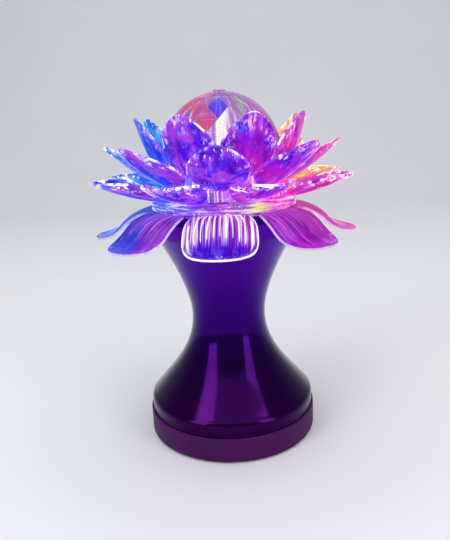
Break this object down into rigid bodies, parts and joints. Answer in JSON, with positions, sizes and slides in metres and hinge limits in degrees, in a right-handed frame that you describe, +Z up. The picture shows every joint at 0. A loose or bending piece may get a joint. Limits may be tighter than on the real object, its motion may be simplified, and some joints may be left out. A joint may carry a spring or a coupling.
{
  "type": "lotus lamp",
  "caption": "Decorative lamp with a flared pedestal, a flower of clear petals in four whorls, and a faceted clear dome that a hidden gear motor turns.",
  "frame": {"origin": "centre of the base on the plane that the rubber pads stand on", "axes": "+Z up along the pedestal, -Y toward the front petal, +Y toward the rear switch and socket"},
  "size_m": [0.1814, 0.1814, 0.2405],
  "materials": {
    "foot": "satin violet with a fine grain",
    "pedestal": "mirror plated deep violet",
    "pad": "matte",
    "dark_plastic": "satin",
    "white_plastic": "satin",
    "steel": "bright",
    "brass": "turned",
    "board": "white solder mask",
    "board_green": "green solder mask",
    "wire": "satin",
    "rocker": "satin",
    "diode": "clear lens",
    "clear": "polished clear",
    "dome": "polished clear, faceted inside",
    "sepal": "polished clear, ribbed, lit violet blue",
    "outer_petal": "polished clear, lit blue to magenta",
    "middle_petal": "polished clear, lit violet",
    "inner_petal": "polished clear, lit violet"
  },
  "bodies": {
    "base": {"foot_disc": "foot", "bottom_cover": "dark_plastic", "rubber_pads": "pad", "small_screws": "steel", "pedestal_shell": "pedestal", "deck_plate": "white_plastic", "shaft_bush": "brass", "motor_bracket": "dark_plastic", "gearbox_case": "brass", "motor_can": "steel", "lamp_board": "board", "diode_ring": "diode", "collar_ring": "clear", "column_ring": "clear", "neck_ring": "clear", "clamp_ring": "clear", "stack_screws": "steel", "driver_board": "board_green", "wire_loom": "wire", "dc_socket": "dark_plastic", "switch_body": "dark_plastic", "sepal_1": "sepal", "sepal_2": "sepal", "sepal_3": "sepal", "sepal_4": "sepal", "sepal_5": "sepal", "sepal_6": "sepal", "sepal_7": "sepal", "sepal_8": "sepal", "outer_petal_1": "outer_petal", "outer_petal_2": "outer_petal", "outer_petal_3": "outer_petal", "outer_petal_4": "outer_petal", "outer_petal_5": "outer_petal", "outer_petal_6": "outer_petal", "outer_petal_7": "outer_petal", "outer_petal_8": "outer_petal", "middle_petal_1": "middle_petal", "middle_petal_2": "middle_petal", "middle_petal_3": "middle_petal", "middle_petal_4": "middle_petal", "middle_petal_5": "middle_petal", "middle_petal_6": "middle_petal", "middle_petal_7": "middle_petal", "middle_petal_8": "middle_petal", "inner_petal_1": "inner_petal", "inner_petal_2": "inner_petal", "inner_petal_3": "inner_petal", "inner_petal_4": "inner_petal", "inner_petal_5": "inner_petal", "inner_petal_6": "inner_petal", "inner_petal_7": "inner_petal", "inner_petal_8": "inner_petal"},
    "dome": {"crystal_dome": "dome", "dome_cap": "clear", "dome_plate": "clear", "drive_shaft": "steel", "drive_gear": "white_plastic"},
    "pinion": {"motor_pinion": "brass"},
    "rocker": {"switch_rocker": "rocker"}
  },
  "joints": [
    {"name": "dome_spin", "type": "hinge", "parent": "base", "child": "dome", "pos_m": [0, 0, 0.2], "axis": [0, 0, 1], "continuous": true},
    {"name": "pinion_spin", "type": "hinge", "parent": "base", "child": "pinion", "pos_m": [0.0192, 0, 0.154], "axis": [0, 0, 1], "continuous": true},
    {"name": "rocker_tilt", "type": "hinge", "parent": "base", "child": "rocker", "pos_m": [-0.01713, 0.05604, 0.0097], "axis": [0, 0, 1], "range_deg": [-20, 0]}
  ],
  "couplings": [
    {"joint": "pinion_spin", "follows": "dome_spin", "ratio": -3}
  ]
}
